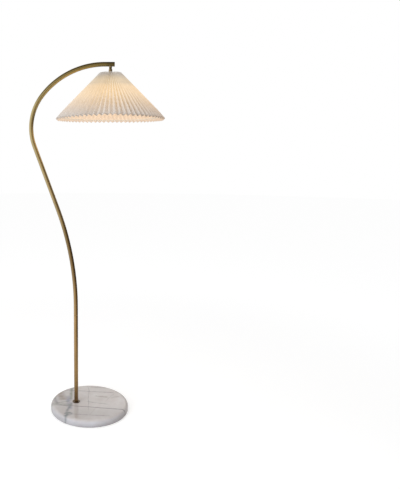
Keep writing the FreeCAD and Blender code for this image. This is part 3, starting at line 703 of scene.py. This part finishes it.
# %% Tones down the slope
glow_stops = [
    (0.00, (0.12, 0.090, 0.060)), (0.05, (0.13, 0.098, 0.062)), (0.11, (0.25, 0.182, 0.095)),
    (0.18, (0.375, 0.272, 0.145)), (0.225, (0.405, 0.289, 0.150)), (0.25, (0.36, 0.257, 0.135)),
    (0.28, (0.440, 0.304, 0.150)), (0.34, (0.500, 0.330, 0.150)), (0.44, (0.490, 0.320, 0.138)),
    (0.53, (0.43, 0.272, 0.106)), (0.62, (0.345, 0.206, 0.066)), (0.71, (0.27, 0.145, 0.026)),
    (0.80, (0.205, 0.102, 0.012)), (0.89, (0.15, 0.073, 0.008)), (1.00, (0.09, 0.045, 0.010)),
]
cloth_stops = [
    (0.00, (0.545, 0.543, 0.540)), (0.08, (0.520, 0.518, 0.515)), (0.18, (0.430, 0.428, 0.425)),
    (0.42, (0.430, 0.428, 0.425)), (0.60, (0.500, 0.498, 0.495)), (0.78, (0.550, 0.548, 0.543)),
]
inner_stops = [
    (0.00, (0.04, 0.02, 0.01)), (0.14, (0.30, 0.18, 0.08)), (0.30, (0.66, 0.43, 0.21)),
    (0.60, (0.63, 0.426, 0.248)), (1.00, (0.562, 0.407, 0.284)),
]

# %% [markdown]
# The glow is painted as light that the cloth gives off, by how far down the slope a point
# lies. The mesh carries that distance as an attribute, and also which face is the inner one,
# how near a crease is, and how far a point lies in the shade of its neighbours.

# %% Lit cloth
def noted(tree, name):
    """A number that the mesh carries for each of its points."""
    return node(tree, "Attribute", {"attribute_name": name}).outputs["Fac"]


lit_cloth, tree, shader = start_material("lit_cloth")
slope, inner, crease = (noted(tree, name) for name in ("slope", "inner_face", "crease"))
open_share = reckon(tree, "SUBTRACT", 1.0, noted(tree, "hollow"))
strip = coordinates(tree, "UV")
place = coordinates(tree)
patch = use_group(tree, mottling, Vector=place, Scale=16.0)["Value"]
tone = colour_ramp(tree, slope, cloth_stops)
tone = blend(tree, remap(tree, patch, 0.0, 1.0, 0.0, 0.06), tone, (0.75, 0.75, 0.74))
# Painted shade: along every crease, ridge and valley alike, the cloth is darkened a little.
tone = blend(tree, remap(tree, crease, 0.86, 1.0, 0.0, 0.30), tone, (0.50, 0.49, 0.47))
fill(tree, shader.inputs["Base Color"], blend(tree, 1.0, tone, open_share, how="MULTIPLY"))
outer_glow = colour_ramp(tree, slope, glow_stops)
inner_glow = colour_ramp(tree, slope, inner_stops)
outer_glow = blend(tree, 1.0, outer_glow, open_share, how="MULTIPLY")
glow = blend(tree, inner, outer_glow, inner_glow)
cloudy = use_group(tree, mottling, Vector=strip, Scale=40.0, Low=0.93, High=1.05)["Value"]
glow = blend(tree, 1.0, glow, cloudy, how="MULTIPLY")
fill(tree, shader.inputs["Emission Color"], glow)
shader.inputs["Emission Strength"].default_value = 1.0
weave = use_group(tree, cloth_weave, Vector=strip, Threads=7000.0)["Height"]
emboss(tree, shader, weave, 0.20, 0.08 * MM)
fill(tree, shader.inputs["Roughness"], remap(tree, patch, 0.0, 1.0, 0.80, 0.90))
shader.inputs["Sheen Weight"].default_value = 0.08

# %% [markdown]
# ## The shade's folds
#
# A strip creased into equal facets and closed into a ring can only be wide where its folds
# are shallow, and narrow where they are deep: each facet keeps its width. So the depth of a
# fold follows from the radius.

# %% Depth of the folds
pleats = 70
facets = 2 * pleats
facet_width = 14 * MM
cloth_thickness = 0.5 * MM
rim_ridge = (223 * MM, 1279.342 * MM)
top_ridge = (44 * MM, 1457.342 * MM)
drop = np.array([rim_ridge[0] - top_ridge[0], top_ridge[1] - rim_ridge[1]])
slope_length = float(np.hypot(*drop))
outward = np.array([drop[1], drop[0]]) / slope_length


def fold_line_middle(ridge):
    """Radius, height and depth midway between ridge and valley, where the ridge is given."""
    radius = ridge[0]
    for _ in range(20):
        half_pitch = math.pi * radius / pleats
        depth = math.sqrt(facet_width ** 2 - half_pitch ** 2)
        reach = depth / 2 + cloth_thickness / 2
        radius = ridge[0] - reach * outward[0]
    return np.array([radius, ridge[1] - reach * outward[1], depth])


top_middle, rim_middle = fold_line_middle(top_ridge), fold_line_middle(rim_ridge)
print("fold depth", (top_middle[2] / MM).round(2), "to", (rim_middle[2] / MM).round(2), "mm")

# %% [markdown]
# The loop below places each point of the cloth by how far down the slope, how far round and
# how far from ridge to valley it lies. Real creases are never sharp, so each is rounded a
# little, and a seeded generator lets every crease stray by a fraction of a degree. The hem
# below the wire hoop is free: it hangs a few millimetres lower at both sides, and a little
# higher at the front and back. On the right the folds turn away from the window and shade
# each other; the list called hollow notes how much light each point loses there, or gains at
# a ridge. On the left they face the window, and window_side notes the little that they gain.

# %% Folding the strip
crease_round = 0.05
across_stops = [0.0, 0.025, 0.05, 0.2, 0.5, 0.8, 0.95, 0.975]


def zigzag(across):
    """1 at a ridge, -1 at a valley, with rounded creases."""
    rest = min(across, 1 - across)
    height = 1 - 2 * rest if rest > crease_round else 1 - crease_round - rest ** 2 / crease_round
    return height if across < 0.5 else -height


rows = 36
rng = np.random.default_rng(7)
# radians round the ring, then metres of rise at a crease and of bow between two
stray = rng.normal(0, 0.0030, facets)
lift = rng.normal(0, 0.00045, facets)
bow = rng.normal(0.0, 0.00022, facets)
shares = np.linspace(0, 1, rows)
side_sag, hem_lift, back_lift = 4.5 * MM, 1.0 * MM, 1.5 * MM
valley_loss, ridge_gain, window_gain = 0.55, 0.18, 0.060
hem = np.clip((shares - 0.80) / 0.20, 0, 1) ** 2
middle = top_middle + (rim_middle - top_middle) * shares[:, None]
grid, around_share, crease_value, hollow, window_side = [], [], [], [], []
for k in range(facets):
    for across in across_stops:
        even = k % 2 == 0
        height = zigzag(across) * (1 if even else -1)
        angle = math.pi / pleats * (k + across)
        drift = (1 - across) * stray[k] + across * stray[(k + 1) % facets]
        rise = (1 - across) * lift[k] + across * lift[(k + 1) % facets]
        turn = angle + drift * shares
        off = middle[:, 2] / 2 * height + (rise + bow[k] * math.sin(math.pi * across)) * shares
        radius = middle[:, 0] + off * outward[0]
        sag = side_sag * abs(math.cos(angle)) - hem_lift - back_lift * max(0.0, math.sin(angle))
        level = middle[:, 1] + off * outward[1] - hem * sag
        grid.append(np.column_stack([radius * np.cos(turn), radius * np.sin(turn), level]))
        around_share.append(k + across)
        crease_value.append(height)
        turned_away = max(0.0, math.cos(angle)) * np.clip((shares - 0.15) / 0.40, 0, 1)
        hollow.append(turned_away * (valley_loss * (1 - height) / 2 - ridge_gain))
        turned_to = min(1.0, max(0.0, -1.6 * math.cos(angle)))
        window_side.append(window_gain * turned_to * np.clip((shares - 0.25) / 0.35, 0, 1))
grid = np.array(grid).transpose(1, 0, 2)
hollow, window_side = np.array(hollow).T, np.array(window_side).T
columns = grid.shape[1]
print("cloth grid", grid.shape)

# %% [markdown]
# The grid is the middle of the cloth. Each point moves half a thickness along its normal to
# either side, which gives an outer and an inner face, and two thin strips close the cut
# edges at the top and the rim.

# %% Giving the cloth its thickness
down = np.gradient(grid, axis=0)
sideways = np.roll(grid, -1, axis=1) - np.roll(grid, 1, axis=1)
normals = np.cross(sideways, down)
normals /= np.linalg.norm(normals, axis=2)[:, :, None]
flip = np.sign((normals[:, :, :2] * grid[:, :, :2]).sum(axis=(0, 1, 2)))
normals *= flip
centre = np.array([stem_x, 0, 0])
outer_face = grid + normals * cloth_thickness / 2 + centre
inner_face = grid - normals * cloth_thickness / 2 + centre
points = np.concatenate([outer_face.reshape(-1, 3), inner_face[::-1].reshape(-1, 3)])
faces = quads(2 * rows, columns, rows_close=True)
if flip < 0:
    faces = [face[::-1] for face in faces]
shade = mesh_piece("folded_cloth_shade", points, faces)
outer_hollow = hollow - window_side
values = {
    "slope": np.concatenate([np.repeat(shares, columns), np.repeat(shares[::-1], columns)]),
    "inner_face": np.repeat([0.0, 1.0], rows * columns),
    "crease": np.tile(np.abs(crease_value), 2 * rows),
    "hollow": np.concatenate([outer_hollow.reshape(-1), hollow[::-1].reshape(-1)]),
}
for label, numbers in values.items():
    shade.data.attributes.new(label, "FLOAT", "POINT").data.foreach_set("value", numbers)

# %% [markdown]
# The weave needs coordinates that lie flat on the strip: how far along it, and how far down.

# %% Coordinates along the strip
strip_x = np.array(around_share) * facet_width
uv = shade.data.uv_layers.new(name="along_the_strip").data
for face in shade.data.polygons:
    wraps = {v % columns for v in face.vertices} >= {0, columns - 1}
    for corner, index in zip(face.loop_indices, face.vertices):
        column, row = index % columns, index // columns
        along = facets * facet_width if wraps and column == 0 else strip_x[column]
        uv[corner].uv = (along, slope_length * values["slope"][index])
shade.data.materials.append(lit_cloth)
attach(shade, "head")
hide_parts("pleated_shade")

# %% [markdown]
# The strip's two ends are glued over each other on one facet, which gives that facet a
# second layer, and a line that shows at the front of the shade.

# %% Glued overlap
seam_facet = 106
glue, layer_top = 0.05 * MM, 0.45 * MM
first = seam_facet * len(across_stops) + 2
wide = 5
layer = outer_face[:, first:first + wide]
layer_normals = normals[:, first:first + wide]
low_side = layer + layer_normals * glue
high_side = layer + layer_normals * layer_top
strip_points = []
for r in range(rows):
    strip_points += [*low_side[r], *high_side[r][::-1]]
strip_faces = quads(rows, 2 * wide) + lids(rows, 2 * wide)
overlap = mesh_piece("glued_overlap", strip_points, strip_faces, smooth=False)
overlap.data.attributes.new("slope", "FLOAT", "POINT").data.foreach_set(
    "value", np.repeat(shares, 2 * wide))
overlap.data.materials.append(lit_cloth)
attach(overlap, "head")
print("strip", round(facets * facet_width, 3), "by", round(slope_length, 4), "m")

# %% [markdown]
# ## Felt pad
#
# A disc of grey felt is glued under the stone so that it doesn't scratch the floor. Felt has
# no weave: it is matted fibre, with a ragged edge. The disc is made of rings whose outer
# ones stray a little, which frays the rim.

# %% Felt
felt = plain_finish("grey_felt", (0.16, 0.16, 0.165), (0.24, 0.24, 0.245), 0.92,
                    grain=1400.0, depth=0.6)
felt.node_tree.nodes["Principled BSDF"].inputs["Sheen Weight"].default_value = 0.3
pad_low, pad_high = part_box("base_pad")
pad_radius = (pad_high.x - pad_low.x) / 2
pad_rings = [(0.02, 0.0), (0.5, 0.0), (0.96, 0.0), (0.995, 0.12), (1.0, 0.5), (0.995, 0.88),
             (0.96, 1.0), (0.5, 1.0), (0.02, 1.0)]
pad_around = 180
fray = np.random.default_rng(11).uniform(-0.5, 0.0, (len(pad_rings), pad_around)) * MM
pad_points = []
for row, (share, level) in enumerate(pad_rings):
    for a in range(pad_around):
        radius = share * pad_radius + (fray[row, a] if share > 0.9 else 0.0)
        turn = TURN * a / pad_around
        z = pad_low.z + level * (pad_high.z - pad_low.z)
        pad_points.append((radius * math.cos(turn), radius * math.sin(turn), z))
pad_faces = quads(len(pad_rings), pad_around) + lids(len(pad_rings), pad_around)
pad = mesh_piece("felt_disc", pad_points, pad_faces)
pad.data.materials.append(felt)
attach(pad, "stand")
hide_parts("base_pad")

# %% [markdown]
# ## Room
#
# The lamp stands on a pale floor in soft light. The floor is an ordinary matt surface that
# takes the lamp's shadow; to the camera, and in mirrors, it also gives off a little light,
# more with distance, so that it runs into the white behind it with no line. The two parts add
# up to just white: a floor brighter than white would eat into the edges of the thin pole.

# %% Floor
def glance(tree):
    """1 for what the camera sees directly, in a mirror or through glass."""
    path = node(tree, "LightPath").outputs
    seen = reckon(tree, "MAXIMUM", path["Is Camera Ray"], path["Is Glossy Ray"])
    return reckon(tree, "MAXIMUM", seen, path["Is Transmission Ray"])


def from_centre(tree):
    """How far a point lies from the middle of its own object."""
    place = coordinates(tree)
    return node(tree, "VectorMath", {"operation": "LENGTH"}, Vector=place).outputs["Value"]


floor_radius = 14.0
bpy.ops.mesh.primitive_circle_add(vertices=128, radius=floor_radius, fill_type="NGON")
floor = bpy.context.object
floor.name = "floor"
floor_finish, tree, shader = start_material("pale_floor")
far = remap(tree, from_centre(tree), 0.5, 2.6, 0.0, 1.0, smooth=True)
lift_light = remap(tree, far, 0.0, 1.0, 0.59, 0.91)
seen_light = reckon(tree, "MULTIPLY", lift_light, glance(tree))
fill(tree, shader.inputs["Emission Strength"], seen_light)
shader.inputs["Emission Color"].default_value = (1.0, 1.0, 1.0, 1.0)
fill(tree, shader.inputs["Base Color"], blend(tree, far, (0.50, 0.50, 0.50), (0.15, 0.15, 0.15)))
shader.inputs["Roughness"].default_value = 0.9
shader.inputs["Specular IOR Level"].default_value = 0.0
floor.data.materials.append(floor_finish)
floor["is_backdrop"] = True

# %% [markdown]
# The world behind is white where it is seen, and a soft dim light elsewhere.

# %% World
world = bpy.data.worlds.new("studio")
world.use_nodes = True
bpy.context.scene.world = world
tree = world.node_tree
background = tree.nodes["Background"]
background.inputs["Color"].default_value = (1.0, 1.0, 1.0, 1.0)
fill(tree, background.inputs["Strength"], remap(tree, glance(tree), 0.0, 1.0, 0.50, 1.0))

# %% [markdown]
# A large soft lamp on the left shapes the folds and the stone, a weaker one on the right
# fills in, and one overhead lights the top of the shade. Two low ones lift the edge of the
# stone. The last is the bulb itself: a small warm light just under the glass, which only has
# to reach the inside of the shade.

# %% Lamps
def soft_lamp(name, place, aim, size, power, tint, spread):
    data = bpy.data.lights.new(name, "AREA")
    data.shape = "RECTANGLE"
    data.spread = math.radians(spread)
    data.size, data.size_y = size
    data.energy = power
    data.color = tint
    lamp = bpy.data.objects.new(name, data)
    lamp.location = place
    lamp.rotation_euler = (Vector(aim) - Vector(place)).to_track_quat("-Z", "Y").to_euler()
    lamp.visible_glossy = False
    bpy.context.scene.collection.objects.link(lamp)


plain, warm, cold = (1.0, 1.0, 1.0), (1.0, 0.68, 0.45), (0.84, 0.92, 1.0)
lamps = [
    # name, place, what it points at, width and height, watts, colour, spread in degrees
    ("window_left", (-1.95, -2.05, 1.9), (0.0, 0.0, 0.7), (1.4, 2.2), 35.3, plain, 180),
    ("fill_right", (2.3, -1.4, 1.8), (0.1, 0.0, 1.35), (1.2, 1.2), 1.5, warm, 50),
    ("overhead", (-0.2, 0.2, 3.4), (0.0, 0.0, 0.5), (2.4, 2.4), 27, plain, 180),
    ("low_front", (-1.1, -1.7, 0.30), (-0.02, -0.05, 0.02), (0.9, 0.5), 2.5, cold, 60),
    ("low_right", (1.5, -1.5, 0.50), (0.03, -0.03, 0.02), (0.9, 0.5), 0.9, (1.0, 0.98, 0.96), 60),
    ("bulb_light", (stem_x, 0.0, 1.292), (stem_x, 0.0, 0.0), (0.04, 0.04), 0.6,
     (1.0, 0.70, 0.42), 180),
]
for row in lamps:
    soft_lamp(*row)
print(len(lamps), "lamps")

# %% [markdown]
# Polished metal shows the room, and an all-white room makes it look like chalk. Studios
# hang pale and dark cloths around such a piece. Here they are one drum, closed below and
# above. Its tone changes round the lamp: pale on the left, which gives the tube its bright
# flank, darker towards the camera, and darkest on the right and overhead. Above the height
# of the rim the back is pale too, so that the crown gets a thin second light line.

# %% Tones round the drum
low_stops = [
    (0.00, (0.86, 0.85, 0.84)), (0.10, (0.92, 0.91, 0.89)), (0.16, (0.82, 0.80, 0.76)),
    (0.21, (0.62, 0.58, 0.52)), (0.26, (0.47, 0.41, 0.33)), (0.32, (0.33, 0.27, 0.20)),
    (0.38, (0.18, 0.14, 0.10)), (0.46, (0.09, 0.07, 0.05)), (0.70, (0.09, 0.08, 0.07)),
    (0.80, (0.30, 0.29, 0.27)), (0.90, (0.70, 0.69, 0.67)), (1.00, (0.86, 0.85, 0.84)),
]
high_stops = [
    (0.00, (0.95, 0.94, 0.93)), (0.10, (0.95, 0.94, 0.92)), (0.16, (0.84, 0.82, 0.78)),
    (0.21, (0.62, 0.58, 0.52)), (0.26, (0.44, 0.38, 0.30)), (0.32, (0.28, 0.23, 0.17)),
    (0.38, (0.15, 0.11, 0.08)), (0.48, (0.13, 0.10, 0.07)), (0.54, (0.30, 0.27, 0.22)),
    (0.60, (0.74, 0.72, 0.68)), (0.66, (0.92, 0.91, 0.89)), (1.00, (0.95, 0.94, 0.93)),
]

# %% [markdown]
# The drum and the two circles that close it give off those tones, but only a mirror finds
# them: the camera looks through, and they cast no shadow and no light. Around the foot the
# lower circle is a middle grey.

# %% Cloths around the lamp, for the metal
def cloth_finish(name):
    finish, tree, shader = start_material(name)
    finish.cycles.emission_sampling = "NONE"
    shader.inputs["Base Color"].default_value = (0.0, 0.0, 0.0, 1.0)
    shader.inputs["Emission Strength"].default_value = 1.0
    return finish, tree, shader


def for_mirrors_only(cloth, name, finish):
    cloth.name = name
    cloth.data.materials.append(finish)
    for way in ("visible_camera", "visible_diffuse", "visible_shadow", "visible_transmission",
                "visible_volume_scatter"):
        setattr(cloth, way, False)
    cloth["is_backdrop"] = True


drum_finish, tree, shader = cloth_finish("cloths_around")
turn_share = node(tree, "TexGradient", {"gradient_type": "RADIAL"}, Vector=coordinates(tree))
position = node(tree, "NewGeometry").outputs["Position"]
level = node(tree, "SeparateXYZ", Vector=position).outputs["Z"]
low_tone = colour_ramp(tree, turn_share.outputs["Fac"], low_stops)
high_tone = colour_ramp(tree, turn_share.outputs["Fac"], high_stops)
around = blend(tree, remap(tree, level, 1.10, 1.35, smooth=True), low_tone, high_tone)
near = remap(tree, from_centre(tree), 0.3, 1.1, 1.0, 0.0, smooth=True)
fill(tree, shader.inputs["Emission Color"], blend(tree, near, around, (0.56, 0.53, 0.47)))
drum = {"vertices": 96, "radius": 3.0}
drum_height, off_floor = 3.2, 0.001
bpy.ops.mesh.primitive_cylinder_add(**drum, depth=drum_height, end_fill_type="NOTHING",
                                    location=(0.0, 0.0, drum_height / 2))
for_mirrors_only(bpy.context.object, "cloth_cylinder", drum_finish)
lid_finish, tree, shader = cloth_finish("cloth_overhead")
shader.inputs["Emission Color"].default_value = (0.15, 0.13, 0.10, 1.0)
for name, level, finish in (("cloth_circle", off_floor, drum_finish),
                            ("cloth_overhead", drum_height, lid_finish)):
    bpy.ops.mesh.primitive_circle_add(**drum, fill_type="NGON", location=(0.0, 0.0, level))
    for_mirrors_only(bpy.context.object, name, finish)

# %% [markdown]
# ## Size
#
# The dressed lamp has to fill the same box as the imported one.

# %% The dressed lamp's box
low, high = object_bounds()
print("dressed box", [round(v, 4) for v in (*low, *high)])
